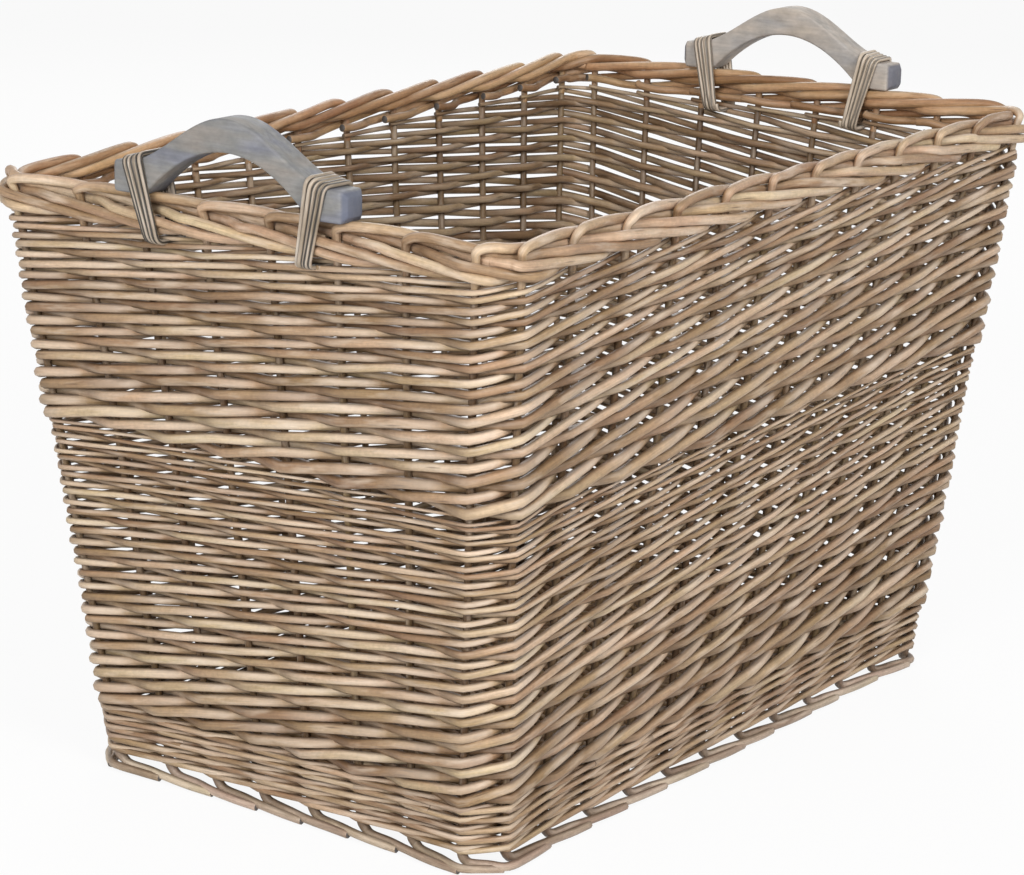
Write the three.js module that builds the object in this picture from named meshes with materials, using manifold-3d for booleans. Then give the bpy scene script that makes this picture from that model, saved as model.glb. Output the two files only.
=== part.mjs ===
// Tall flared willow basket with an open top and two arched wooden handles lashed to its rim.
// Millimetres, +Z up, origin on the floor under the middle of the basket, X along the long sides.

import * as THREE from 'three';
import { mergeVertices } from 'three/addons/utils/BufferGeometryUtils.js';
import Module from 'manifold-3d';

// Rectangle that the upright stakes stand on, at the floor and at the rim, with its corners cut off
const footLength = 520;
const footWidth = 302;
const rimLength = 624;
const rimWidth = 381;
const cornerCut = 16;

// Heights of the bands, from the floor up
const footBorderHeight = 9;
const footWindowHeight = 9;
const upsettHeight = 29;
const lowerRandHeight = 191;
const upperRandHeight = 130.5;
const openBandHeight = 5;
const rimBorderHeight = 26;

// Reach to either side of the stakes of the plain bands, and how far their edges are rounded off
const footBorderReach = 9;
const upsettReach = 9;
const rimBorderReach = 11;
const bandEdge = 2;
const borderEdge = 5;

// Rods of the two rands, which thin upwards, and of every so many layers the last lies inside the stakes
const randButtDiameter = 6.6;
const lowerRandTipDiameter = 3.45;
const upperRandTipDiameter = 4.75;
const courseLayerCount = 3;

// Wall that a groove between two courses leaves over the stakes
const courseWall = 1.2;

// Upright stakes
const stakeDiameter = 6.4;
const stakeSides = 6;
const sideSpaceCount = 11;
const endSpaceCount = 7;
const footCover = 3;
const rimCover = 8;

// Woven floor on lengthwise sticks
const baseLift = 2;
const baseThickness = 12;
const baseStickDiameter = 7;
const baseStickCount = 7;

// Handles: a flat pad at each end and an arch between them
const handleLength = 177;
const handleThickness = 20;
const handlePadHeight = 19;
const handleCrownHeight = 51.5;
const handleGripDepth = 20;
const handleArchSpan = 125;
const handleSwellSpan = 160;
const handleEdge = 3.5;
const handleSteps = 14;

// Cane lashings round the rim border and each end of the handles
const caneDiameter = 2.8;
const caneGap = 0.6;
const caneTurns = 5;
const caneSides = 6;
const caneStepsPerTurn = 24;
const caneBend = 6;
const caneSlack = 0.5;
const handleTab = 9;
const caneLean = 15;
const sampleSpacing = 0.5;

// Gap kept between pieces that touch
const clearance = 0.3;

// Levels that follow from the heights
const upsettBottom = footBorderHeight + footWindowHeight;
const lowerRandBottom = upsettBottom + upsettHeight + clearance;
const upperRandBottom = lowerRandBottom + lowerRandHeight + clearance;
const upperRandTop = upperRandBottom + upperRandHeight;
const rimBottom = upperRandTop + openBandHeight;
const rimTop = rimBottom + rimBorderHeight;
const handleSeat = rimTop + clearance;
const baseBottom = upsettBottom + baseLift;

const stakeRadius = stakeDiameter / 2;
const stakeBottom = footCover;
const stakeTop = rimTop - rimCover;
const caneRadius = caneDiameter / 2;
const canePitch = caneDiameter + caneGap;
const windingHalf = (caneTurns * canePitch) / 2 + caneRadius;

const wasm = await Module();
wasm.setup();

function makeMaterial(color, roughness) {
  return new THREE.MeshStandardMaterial({ color, roughness, metalness: 0 });
}

function named(name, geometry, material) {
  const mesh = new THREE.Mesh(geometry, material);
  mesh.name = name;
  return mesh;
}

// A closed mesh as a solid that can be cut, and back again
function toSolid(geometry) {
  const bare = geometry.clone();
  bare.deleteAttribute('normal');
  bare.deleteAttribute('uv');
  const merged = mergeVertices(bare);
  return new wasm.Manifold(new wasm.Mesh({
    numProp: 3,
    vertProperties: new Float32Array(merged.getAttribute('position').array),
    triVerts: new Uint32Array(merged.getIndex().array),
  }));
}

function toGeometry(solid) {
  const mesh = solid.getMesh();
  const geometry = new THREE.BufferGeometry();
  geometry.setAttribute('position', new THREE.BufferAttribute(mesh.vertProperties, 3));
  geometry.setIndex(new THREE.BufferAttribute(mesh.triVerts, 1));
  return geometry;
}

function cutAway(geometry, cutters) {
  let solid = toSolid(geometry);
  for (const cutter of cutters) {
    solid = solid.subtract(toSolid(cutter));
  }
  return toGeometry(solid);
}

// Half sizes of the flared stake line at a height, moved outward by an offset
function planAt(height, offset) {
  const share = height / rimTop;
  const cutGrowth = 2 - Math.SQRT2;
  return {
    halfLength: THREE.MathUtils.lerp(footLength, rimLength, share) / 2 + offset,
    halfWidth: THREE.MathUtils.lerp(footWidth, rimWidth, share) / 2 + offset,
    cut: cornerCut + offset * cutGrowth,
  };
}

// The eight corners of that plan, anticlockwise from above, starting on the -Y side's left end
function planCorners(height, offset) {
  const { halfLength, halfWidth, cut } = planAt(height, offset);
  const alongLength = halfLength - cut;
  const alongWidth = halfWidth - cut;
  return [
    [-alongLength, -halfWidth],
    [alongLength, -halfWidth],
    [halfLength, -alongWidth],
    [halfLength, alongWidth],
    [alongLength, halfWidth],
    [-alongLength, halfWidth],
    [-halfLength, alongWidth],
    [-halfLength, -alongWidth],
  ].map(([x, y]) => new THREE.Vector3(x, y, height));
}

function geometryFrom(points, triangles) {
  const geometry = new THREE.BufferGeometry().setFromPoints(points);
  geometry.setIndex(triangles);
  return geometry;
}

// A band round the basket: a section of [offset, height] points swept round the flared plan
function bandGeometry(section) {
  const rows = section.map(([offset, height]) => planCorners(height, offset));
  const around = rows[0].length;
  const triangles = [];
  for (let row = 0; row < rows.length; row += 1) {
    const here = row * around;
    const above = ((row + 1) % rows.length) * around;
    for (let i = 0; i < around; i += 1) {
      const next = (i + 1) % around;
      triangles.push(here + i, here + next, above + next);
      triangles.push(here + i, above + next, above + i);
    }
  }
  return geometryFrom(rows.flat(), triangles);
}

function roundedSection(reach, bottom, height, rounding) {
  const edge = Math.min(rounding, height / 3, reach / 2);
  const top = bottom + height;
  return [
    [reach - edge, bottom],
    [reach, bottom + edge],
    [reach, top - edge],
    [reach - edge, top],
    [edge - reach, top],
    [-reach, top - edge],
    [-reach, bottom + edge],
    [edge - reach, bottom],
  ];
}

// The layers of rods that fill a rand, from the bottom up
function randLayers(bottom, height, tipDiameter) {
  const meanDiameter = (randButtDiameter + tipDiameter) / 2;
  const count = Math.round(height / meanDiameter);
  const fit = height / (count * meanDiameter);
  const layers = [];
  let level = bottom;
  for (let i = 0; i < count; i += 1) {
    const thickness = fit * THREE.MathUtils.mapLinear(i, 0, count - 1, randButtDiameter, tipDiameter);
    layers.push({ middle: level + thickness / 2, thickness });
    level += thickness;
  }
  return layers;
}

// A rand's section: ridges where rods lie outside the stakes, and a groove where a layer lies inside them
function wovenSection(bottom, height, tipDiameter) {
  const core = stakeRadius + clearance;
  const groove = core + courseWall;
  const top = bottom + height;
  const outside = [[groove, bottom]];
  const inside = [[-groove, bottom]];
  randLayers(bottom, height, tipDiameter).forEach(({ middle, thickness }, i) => {
    if (i % courseLayerCount < courseLayerCount - 1) {
      outside.push([core + thickness, middle]);
      inside.push([-groove, middle]);
      return;
    }
    outside.push([groove, middle - thickness / 2]);
    if (middle + thickness < top) {
      outside.push([groove, middle + thickness / 2]);
    }
    inside.push([-core - thickness, middle - thickness / 4]);
    inside.push([-core - thickness, middle + thickness / 4]);
  });
  outside.push([groove, top]);
  inside.push([-groove, top]);
  return [...outside, ...inside.reverse()];
}

// A plate that fills the plan between two heights
function plateGeometry(offset, bottom, top) {
  const lower = planCorners(bottom, offset);
  const upper = planCorners(top, offset);
  const around = lower.length;
  const triangles = [];
  for (let i = 0; i < around; i += 1) {
    const next = (i + 1) % around;
    triangles.push(i, next, around + next, i, around + next, around + i);
  }
  for (let i = 1; i < around - 1; i += 1) {
    triangles.push(0, i + 1, i, around, around + i, around + i + 1);
  }
  return geometryFrom([...lower, ...upper], triangles);
}

// A round rod between two points, and the slightly larger rod that cuts its socket
function rodMesh(from, to, radius, sides) {
  const along = new THREE.Vector3().subVectors(to, from);
  const mesh = new THREE.Mesh(new THREE.CylinderGeometry(radius, radius, along.length(), sides));
  mesh.position.copy(from).add(to).multiplyScalar(0.5);
  mesh.quaternion.setFromUnitVectors(new THREE.Vector3(0, 1, 0), along.normalize());
  mesh.updateMatrix();
  return mesh;
}

function socketGeometry(from, to, radius, sides) {
  const extra = new THREE.Vector3().subVectors(to, from).setLength(clearance);
  const wider = radius + clearance / Math.cos(Math.PI / sides);
  const start = from.clone().sub(extra);
  const end = to.clone().add(extra);
  const mesh = rodMesh(start, end, wider, sides);
  return mesh.geometry.applyMatrix4(mesh.matrix);
}

// Stakes stand evenly along the four sides, with one at each end of every side
function stakeLine(height) {
  const corners = planCorners(height, 0);
  const places = [];
  for (let side = 0; side < corners.length; side += 2) {
    const spaces = side % 4 === 0 ? sideSpaceCount : endSpaceCount;
    for (let i = 0; i <= spaces; i += 1) {
      places.push(corners[side].clone().lerp(corners[side + 1], i / spaces));
    }
  }
  return places;
}

const stakeFeet = stakeLine(stakeBottom);
const stakeHeads = stakeLine(stakeTop);

function makeStakes(material) {
  return stakeFeet.map((foot, i) => {
    const mesh = rodMesh(foot, stakeHeads[i], stakeRadius, stakeSides);
    mesh.name = `stake_${String(i + 1).padStart(2, '0')}`;
    mesh.material = material;
    return mesh;
  });
}

function makeBand(name, section, material) {
  const sockets = stakeFeet.map((foot, i) => {
    return socketGeometry(foot, stakeHeads[i], stakeRadius, stakeSides);
  });
  return named(name, cutAway(bandGeometry(section), sockets), material);
}

// The floor lies inside the upsett, and its sticks run from end to end through it
function makeBase(weaveMaterial, stickMaterial) {
  const offset = -upsettReach - clearance;
  const middle = baseBottom + baseThickness / 2;
  const { halfLength, halfWidth, cut } = planAt(baseBottom, offset);
  const straightWidth = 2 * (halfWidth - cut);
  const radius = baseStickDiameter / 2;
  const sticks = [];
  const channels = [];
  for (let i = 1; i <= baseStickCount; i += 1) {
    const y = straightWidth * (i / (baseStickCount + 1) - 0.5);
    const from = new THREE.Vector3(-halfLength, y, middle);
    const to = new THREE.Vector3(halfLength, y, middle);
    const stick = rodMesh(from, to, radius, stakeSides);
    stick.name = `base_stick_${i}`;
    stick.material = stickMaterial;
    sticks.push(stick);
    const overrun = new THREE.Vector3(baseThickness, 0, 0);
    channels.push(socketGeometry(from.sub(overrun), to.add(overrun), radius, stakeSides));
  }
  const plate = plateGeometry(offset, baseBottom, baseBottom + baseThickness);
  return [named('base_weave', cutAway(plate, channels), weaveMaterial), ...sticks];
}

// Heights of the handle's upper and lower outline above its seat, at a distance from its middle
function handleTopAt(distance) {
  const swell = handleCrownHeight - handlePadHeight;
  const reach = Math.min(Math.abs(distance) / (handleSwellSpan / 2), 1);
  return handlePadHeight + swell * (0.5 + 0.5 * Math.cos(Math.PI * reach));
}

function handleUndersideAt(distance) {
  const reach = Math.min(Math.abs(distance) / (handleArchSpan / 2), 1);
  return (handleCrownHeight - handleGripDepth) * (1 - reach * reach);
}

function makeHandle(name, material) {
  const half = handleLength / 2;
  const outline = [];
  outline.push(new THREE.Vector2(-half, 0));
  for (let i = 0; i <= handleSteps; i += 1) {
    const y = handleArchSpan * (i / handleSteps - 0.5);
    outline.push(new THREE.Vector2(y, handleUndersideAt(y)));
  }
  outline.push(new THREE.Vector2(half, 0));
  outline.push(new THREE.Vector2(half, handleTopAt(half)));
  for (let i = 0; i <= handleSteps; i += 1) {
    const y = handleSwellSpan * (0.5 - i / handleSteps);
    outline.push(new THREE.Vector2(y, handleTopAt(y)));
  }
  outline.push(new THREE.Vector2(-half, handleTopAt(half)));
  const geometry = new THREE.ExtrudeGeometry(new THREE.Shape(outline), {
    depth: handleThickness - 2 * handleEdge,
    bevelSize: handleEdge,
    bevelThickness: handleEdge,
    bevelOffset: -handleEdge,
    bevelSegments: 1,
  });
  geometry.translate(0, 0, handleEdge - handleThickness / 2);
  geometry.rotateX(Math.PI / 2);
  geometry.rotateZ(Math.PI / 2);
  const mesh = named(name, geometry, material);
  mesh.position.set(planAt(rimTop, 0).halfLength, 0, handleSeat);
  return mesh;
}

// One turn of cane seen along the rim: down inside the border, under it and up over the handle's pad
function turnOutline(padTop) {
  const spare = caneSlack + caneRadius;
  const handleMiddle = planAt(rimTop, 0).halfLength;
  const outside = handleMiddle + Math.max(rimBorderReach, handleThickness / 2) + spare;
  const insideLow = planAt(rimBottom, -rimBorderReach).halfLength - spare;
  const insideHigh = handleMiddle - Math.max(rimBorderReach, handleThickness / 2) - spare;
  const low = (upperRandTop + rimBottom) / 2;
  const high = handleSeat + padTop + spare;
  const corners = [
    new THREE.Vector2(insideLow, low),
    new THREE.Vector2(outside, low),
    new THREE.Vector2(outside, high),
    new THREE.Vector2(insideHigh, high),
  ];
  const start = corners[3].clone().lerp(corners[0], 0.5);
  const path = new THREE.Path([start]);
  path.moveTo(start.x, start.y);
  corners.forEach((corner, i) => {
    const before = i === 0 ? start : corners[i - 1];
    const after = i === corners.length - 1 ? start : corners[i + 1];
    const into = corner.clone().add(before.clone().sub(corner).setLength(caneBend));
    const out = corner.clone().add(after.clone().sub(corner).setLength(caneBend));
    path.lineTo(into.x, into.y);
    path.quadraticCurveTo(corner.x, corner.y, out.x, out.y);
  });
  path.lineTo(start.x, start.y);
  return { path, low, high };
}

// Least gap between points of a tube's middle line that lie more than half a turn apart along it
function leastGap(curve) {
  const count = Math.ceil(curve.getLength() / sampleSpacing);
  const points = curve.getSpacedPoints(count);
  const apart = Math.ceil(count / caneTurns / 2);
  let least = Infinity;
  for (let i = 0; i < points.length; i += 1) {
    for (let j = i + apart; j < points.length; j += 1) {
      least = Math.min(least, points[i].distanceTo(points[j]));
    }
  }
  return least - caneDiameter;
}

// A winding is one cane: its turns lean, because it grips the handle further out than the border
function makeLashing(name, hand, material) {
  const over = handleLength / 2 - handleTab - windingHalf;
  const stakeSpace = planAt(rimBottom, 0).halfWidth - cornerCut;
  const guardStake = stakeSpace * (1 - 4 / endSpaceCount);
  const clearOfStake = guardStake - stakeRadius - caneSlack - windingHalf;
  const under = Math.min(over - caneLean, clearOfStake);
  const { path, low, high } = turnOutline(handleTopAt(over - windingHalf));
  const points = [];
  for (let i = 0; i <= caneTurns * caneStepsPerTurn; i += 1) {
    const turn = i / caneStepsPerTurn;
    const { x, y: z } = path.getPointAt(turn % 1);
    const station = THREE.MathUtils.mapLinear(z, low, high, under, over);
    points.push(new THREE.Vector3(x, hand * (station + (turn - caneTurns / 2) * canePitch), z));
  }
  const curve = new THREE.CatmullRomCurve3(points);
  const section = new THREE.Shape();
  for (let i = 0; i < caneSides; i += 1) {
    const angle = (2 * Math.PI * i) / caneSides;
    const corner = new THREE.Vector2(Math.cos(angle), Math.sin(angle)).multiplyScalar(caneRadius);
    section[i === 0 ? 'moveTo' : 'lineTo'](corner.x, corner.y);
  }
  const geometry = new THREE.ExtrudeGeometry(section, {
    steps: caneTurns * caneStepsPerTurn,
    extrudePath: curve,
  });
  console.log(`${name}: least gap to itself ${leastGap(curve).toFixed(2)} mm`);
  return named(name, geometry, material);
}

// One end of the basket: a handle and its two lashings
function makeEnd(index, handleMaterial, caneMaterial) {
  const end = new THREE.Group();
  end.add(makeHandle(`handle_${index}`, handleMaterial));
  end.add(makeLashing(`lashing_${index}a`, 1, caneMaterial));
  end.add(makeLashing(`lashing_${index}b`, -1, caneMaterial));
  return end;
}

const stakeWillow = makeMaterial(0x9a8467, 0.75);
const weaveWillow = makeMaterial(0xa58c6b, 0.75);
const borderWillow = makeMaterial(0xa98a69, 0.7);
const baseWillow = makeMaterial(0x8f7a5c, 0.8);
const handleWood = makeMaterial(0x8b8b8a, 0.65);
const caneMaterial = makeMaterial(0xd6c7ad, 0.6);

const footSection = roundedSection(footBorderReach, 0, footBorderHeight, bandEdge);
const upsettSection = roundedSection(upsettReach, upsettBottom, upsettHeight, bandEdge);
const lowerRandSection = wovenSection(lowerRandBottom, lowerRandHeight, lowerRandTipDiameter);
const upperRandSection = wovenSection(upperRandBottom, upperRandHeight, upperRandTipDiameter);
const rimSection = roundedSection(rimBorderReach, rimBottom, rimBorderHeight, borderEdge);

const basket = new THREE.Group();
basket.add(
  makeBand('foot_border', footSection, borderWillow),
  makeBand('upsett_wale', upsettSection, weaveWillow),
  makeBand('lower_rand', lowerRandSection, weaveWillow),
  makeBand('upper_rand', upperRandSection, weaveWillow),
  makeBand('rim_border', rimSection, borderWillow),
  ...makeStakes(stakeWillow),
  ...makeBase(baseWillow, stakeWillow),
);

const leftEnd = makeEnd(1, handleWood, caneMaterial);
leftEnd.rotation.z = Math.PI;
const rightEnd = makeEnd(2, handleWood, caneMaterial);
basket.add(leftEnd, rightEnd);

export default basket;
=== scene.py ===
"""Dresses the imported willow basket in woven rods, handles and lashings, and sets its light and camera."""
import math

import bmesh
import bpy
import numpy as np
from mathutils import Matrix, Vector


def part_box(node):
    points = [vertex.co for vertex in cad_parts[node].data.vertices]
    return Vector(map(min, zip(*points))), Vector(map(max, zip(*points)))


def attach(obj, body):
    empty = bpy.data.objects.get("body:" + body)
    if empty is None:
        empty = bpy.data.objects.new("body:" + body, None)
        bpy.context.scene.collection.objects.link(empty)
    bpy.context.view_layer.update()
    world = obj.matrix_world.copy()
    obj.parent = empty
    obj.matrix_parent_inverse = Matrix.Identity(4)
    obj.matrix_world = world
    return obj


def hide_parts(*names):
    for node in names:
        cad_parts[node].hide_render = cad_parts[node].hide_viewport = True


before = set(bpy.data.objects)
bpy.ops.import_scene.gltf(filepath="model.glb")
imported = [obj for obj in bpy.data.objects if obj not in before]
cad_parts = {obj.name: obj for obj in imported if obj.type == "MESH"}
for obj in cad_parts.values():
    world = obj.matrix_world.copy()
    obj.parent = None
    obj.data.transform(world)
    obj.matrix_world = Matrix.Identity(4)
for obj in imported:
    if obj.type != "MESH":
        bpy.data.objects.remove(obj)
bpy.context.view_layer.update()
CAD_HANDLE_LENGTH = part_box("handle_1")[1][1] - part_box("handle_1")[0][1]

# Sizes are in millimetres and become metres when a mesh is made.
MM = 0.001

# A variety is the range of a rod's radius, as shares of the usual one, and a wander is how far it strays.
# The upright stakes:
STAKE_COUNT = 40
STAKE_RADIUS = 2.4
STAKE_VARIETY = (0.95, 1.02)
STAKE_POINTS = 24
STAKE_WANDER = 0.25
STAKE_WANDER_SPREAD = 4

# Stakes closer together than this share of the usual space stand at a corner, where the weave is pushed out.
CORNER_SPACE = 0.75
CORNER_PUSH = 4.0

# The rim isn't level: how far each corner is raised, fading out along the sides and downwards.
# The rows are the -X and +X ends, and the columns the -Y and +Y sides.
CORNER_LIFTS = ((-5.0, -8.5), (2.5, 5.0))

# Every rod: its count of sides, its cut ends as shares of its radius, how far apart in the grain two rods of
# different tone lie, how much a point takes from its neighbours, and the slope from which a rod is upright.
ROD_SIDES = 8
FINE_ROD_SIDES = 10
END_LENGTH = 0.15
END_RADIUS = 0.86
GRAIN_SHIFT = 7000
SOFTENING = 0.12
UPRIGHT = 0.8

# The two bands of rods that each rise one layer from stake to stake. A taper is the tip's share of the butt's
# thickness, a fill is a rod's share of its layer, and the upper band reaches past its solid by the overrun.
LOWER_LAYERS = 42
LOWER_TAPER = 0.45
LOWER_TIP_FILL = 0.93
UPPER_LAYERS = 27
UPPER_TAPER = 0.55
UPPER_TIP_FILL = 1.1
UPPER_OVERRUN = 8.0
ROD_FILL = 1.06
ROD_END_FILL = 0.7
ROD_NEST = 0.18
ROD_VARIETY = (0.88, 1.12)
ROD_HEIGHT_WANDER = 0.5
ROD_REACH_WANDER = 0.4
STEPS_PER_STAKE = 7

# A rod's pattern over three stakes, in front of two and behind one: its swing, its rise and fall in a rand
# and in the wale, and its painted shade where it is sunk in the weave (a painted highlight below 0).
PATTERN = 3
SWING_PLACES = (0.0, 1.0, 1.5, 2.0, 2.5, 3.0)
SWINGS = (0.9, 1.0, 0.25, -0.95, -0.3, 0.9)
RISE_PLACES = (0, 1, 2, 3)
RAND_RISES = (-1, 1, 0, -1)
WALE_RISES = (-1, 0, 1, -1)
SHADE_PLACES = (0.0, 0.4, 1.0, 1.5, 1.75, 2.0, 2.4, 2.75, 3.0)
SHADES = (0.4, 0.1, -0.15, -0.3, 0.3, 0.1, 0.4, 1.0, 0.4)

# The line where the two bands meet isn't level: its lift at some places round the basket, counted in stakes.
SEAM_PLACES = (0, 12, 20, 32, 40)
SEAM_LIFTS = (-6.0, 0.0, 0.0, 3.5, -6.0)

# The rows of thin rods under them. A row starts at a stake and ends past it by the overlap, in stakes.
WALE_ROWS = 5
WALE_STRANDS = 3
WALE_RADIUS = 1.95
WALE_VARIETY = (0.92, 1.08)
WALE_WANDER = 0.3
WALE_LIFT = 2.0
WALE_SAG = 4.5
WALE_FIRST_STAKE = 22
WALE_ROW_SHIFT = 5
WALE_OVERLAP = 1.5

# The borders, which are the bent ends of the stakes. The tips' strays are counted in stakes.
BORDER_RADIUS = 3.3
BORDER_TIP_RADIUS = 2.8
BORDER_CREST = 1.0
BORDER_GAP = 0.4
BORDER_PLACE_WANDER = 0.02
BORDER_HEIGHT_WANDER = 0.4
BORDER_REACH_WANDER = 0.35
BORDER_TIP_STRAY = (-0.1, 0.12)
FOOT_ROD_RADIUS = 3.3
FOOT_TIP_RADIUS = 2.6
FOOT_GAP = 0.1
FOOT_REACH_WANDER = 0.3
FOOT_TIP_STRAY = (-0.12, 0.12)
BORDER_STEPS = 6

# The floor of the basket: rods across lengthwise sticks.
FLOOR_ROD_RADIUS = 2.4
FLOOR_ROD_PITCH = 4.4
FLOOR_ROD_VARIETY = (0.92, 1.05)
FLOOR_ROD_WANDER = 0.2
FLOOR_ROD_STEPS = 4
FLOOR_STICK_COUNT = 7
FLOOR_STICK_RADIUS = 3.5
FLOOR_STICK_TAPER = 0.92
FLOOR_STICK_POINTS = 30
FLOOR_STICK_WANDER = 0.3
FLOOR_STICK_WANDER_SPREAD = 5

# How far the floor's rods reach past its solid, up to the rods of the wall, and how its corners are cut off.
FLOOR_REACH = 4.0
FLOOR_CORNER_CUT = 12.0

# The handles, as heights above their seat and lengths along them. Their ends are drawn in: the places and the
# draws are shares of the end cut. The dark of the ends starts and is full at these distances from them.
HANDLE_PAD_HEIGHT = 19.0
HANDLE_GRIP_DEPTH = 20.0
HANDLE_ARCH_SPAN = 125.0
HANDLE_SWELL_SPAN = 160.0
HANDLE_EDGE = 1.9
HANDLE_EDGE_POINTS = 5
HANDLE_SECTIONS = 81
HANDLE_END_CUT = 3.6
HANDLE_END_PLACES = (0.0, 0.06, 0.2, 0.8, 0.95, 1.2)
HANDLE_END_DRAWS = (1.1, 0.95, 0.8, 0.2, 0.07, 0.0)
HANDLE_DARK_START = 3.4
HANDLE_DARK_FULL = 2.0

# The lashings. A station is a distance from the handle's middle, and the turns gather at their low end.
CANE_RADIUS = 1.45
CANE_PITCH = 3.05
CANE_TURNS = 5
CANE_LOW_STATION = 57.5
CANE_HIGH_STATION = 69.6
CANE_BEND = 5.0
CANE_BEND_POINTS = 6
CANE_TUCK = 4.5
CANE_STACK = 0.9
CANE_GATHER = 0.72
CANE_SIDE_GAP = 0.3
CANE_TOP_GAP = 0.2

# Colours, each list from the darkest to the palest.
WEAVE_COLOURS = ("8a7159", "988067", "a58d74", "af9981", "b9a58e", "c3b19d")
BORDER_COLOURS = ("8f765f", "a08770", "af9781", "bba590", "c8b6a3")
FOOT_COLOURS = ("8d7b6e", "9f8f83", "afa096", "c0b3a9")
# The stakes' own darker tone, made darker still as painted shade for where they show between the rods.
STAKE_TONE_AND_SHADE_COLOURS = ("523e2c", "634e39", "705c46", "7d6a53")
FLOOR_COLOURS = ("775b41", "8b6f52", "9c8061", "a88f71")
# One handle wood in painted shade for the near handle and in painted light for the far one.
SHADED_WOOD_COLOURS = ("696b75", "76777e", "81807e", "86807a")
LIT_WOOD_COLOURS = ("a8a5a4", "b3aca5", "bcb1a6", "beb2a2")
# One cane in painted shade for the near lashings and in painted light for the far ones.
SHADED_CANE_COLOURS = ("8b7d6a", "a49584", "bcb0a1")
LIT_CANE_COLOURS = ("b2a28d", "c4b4a1", "d2c4b3")
ROD_TINTS = ("ffeee1", "fff5e9", "fef8e7", "fbf5db")
BLOOM_COLOUR = "d9c7b3"
SCAR_COLOUR = "4f3b29"
# A painted highlight where a rod swings out, and painted shade where it is sunk in the weave.
PAINTED_HIGHLIGHT_COLOUR = "dccbba"
SUNK_SHADE_COLOUR = "4b3019"
# Painted shade in the crevices between rods.
CREVICE_SHADE_COLOUR = "3d2512"
BROWN_CUT = "5b4a3a"
GREY_CUT = "4c4744"
CANE_CUT = "8d7558"
HANDLE_END_COLOUR = "565b6b"
# Painted shade for the side of a rod that faces into the basket: a cool one, a warm one, and none.
COOL_INSIDE_SHADE = "e4e2de"
WARM_INSIDE_SHADE = "f3dfc8"
NO_INSIDE_SHADE = "ffffff"

# The range in which nearly all values of a noise lie.
NOISE_RANGE = (0.3, 0.7)

# The studio, in metres and watts: each lamp's name, place, size and power. A floor seen directly shows mostly
# the plain white of the background, and for the rest its own grey, with the shadow.
WHITE = (1.0, 1.0, 1.0, 1.0)
STUDIO_FLOOR_HALF = 8.0
STUDIO_FLOOR_GREY = (0.82, 0.82, 0.82, 1.0)
STUDIO_FLOOR_WHITE_SHARE = 0.92
WORLD_LIGHT = 0.34
LAMP_TARGET = (0.0, 0.0, 0.2)
LAMPS = (
    ("key_lamp", (-0.9, -2.2, 1.6), 1.0, 41.0),
    ("fill_lamp", (-2.3, -0.6, 1.2), 1.0, 38.0),
    ("back_lamp", (2.2, 1.6, 1.6), 1.2, 26.0),
)

# The camera, fitted to the photograph: azimuth, elevation and roll in degrees, and its place in metres.
PHOTO_WIDTH = 1024
FOCAL_PIXELS = 3145.1
SENSOR_WIDTH = 36.0
CAMERA_ANGLES = (-54.61, 14.69, 1.39)
CAMERA_PLACE = (-1.6804, -1.1726, 0.7292)

RANDOM = np.random.RandomState(20)


def millimetres(node):
    """The lowest and highest corners of a CAD node, in millimetres."""
    low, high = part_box(node)
    return np.array(low) / MM, np.array(high) / MM


def stake_names():
    return [f"stake_{number:02d}" for number in range(1, STAKE_COUNT + 1)]


def stake_ends():
    """The middle of the foot and of the head of every stake."""
    feet, heads = [], []
    for name in stake_names():
        corners = np.array([vertex.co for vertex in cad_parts[name].data.vertices]) / MM
        middle = (corners[:, 2].min() + corners[:, 2].max()) / 2
        feet.append(corners[corners[:, 2] < middle].mean(axis=0))
        heads.append(corners[corners[:, 2] > middle].mean(axis=0))
    return np.array(feet), np.array(heads)


def outward_directions(ring):
    """The level outward direction at each stake of a ring that runs anticlockwise."""
    ahead = np.roll(ring, -1, axis=0) - ring
    ahead = ahead / np.linalg.norm(ahead, axis=1, keepdims=True)
    along = ahead + np.roll(ahead, 1, axis=0)
    along = along / np.linalg.norm(along, axis=1, keepdims=True)
    return np.stack([along[:, 1], -along[:, 0]], axis=1)


def corner_pushes(ring):
    """How far the weave is pushed out at each stake, which is only at the two stakes of a corner."""
    spaces = np.linalg.norm(np.roll(ring, -1, axis=0) - ring, axis=1)
    short = spaces < np.median(spaces) * CORNER_SPACE
    return np.where(short | np.roll(short, 1), CORNER_PUSH, 0.0)


FEET, HEADS = stake_ends()
OUTWARD = outward_directions(HEADS[:, :2])
PUSHES = corner_pushes(HEADS[:, :2])


def wall_points(places, heights, reaches):
    """Points by the wall. A place counts stakes anticlockwise, and a reach goes out from the stakes' line."""
    first = np.floor(places).astype(int)
    share = places - first
    here, after = first % STAKE_COUNT, (first + 1) % STAKE_COUNT

    def between(values):
        weight = share if values.ndim == 1 else share[:, None]
        return values[here] * (1 - weight) + values[after] * weight

    feet, heads, outward = between(FEET), between(HEADS), between(OUTWARD)
    rise = ((heights - feet[:, 2]) / (heads[:, 2] - feet[:, 2]))[:, None]
    outward = outward / np.linalg.norm(outward, axis=1, keepdims=True)
    points = feet + (heads - feet) * rise
    points[:, :2] += outward * (reaches + between(PUSHES))[:, None]
    points[:, 2] = heights
    return points


def outward_from(points):
    """The level outward direction of the side of the basket that each point is nearest to."""
    shares = points[:, :2] / HEADS.max(axis=0)[:2]
    at_end = np.abs(shares[:, 0]) > np.abs(shares[:, 1])
    result = np.zeros((len(points), 3))
    result[:, 0] = np.where(at_end, np.sign(shares[:, 0]), 0)
    result[:, 1] = np.where(at_end, 0, np.sign(shares[:, 1]))
    return result


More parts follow.
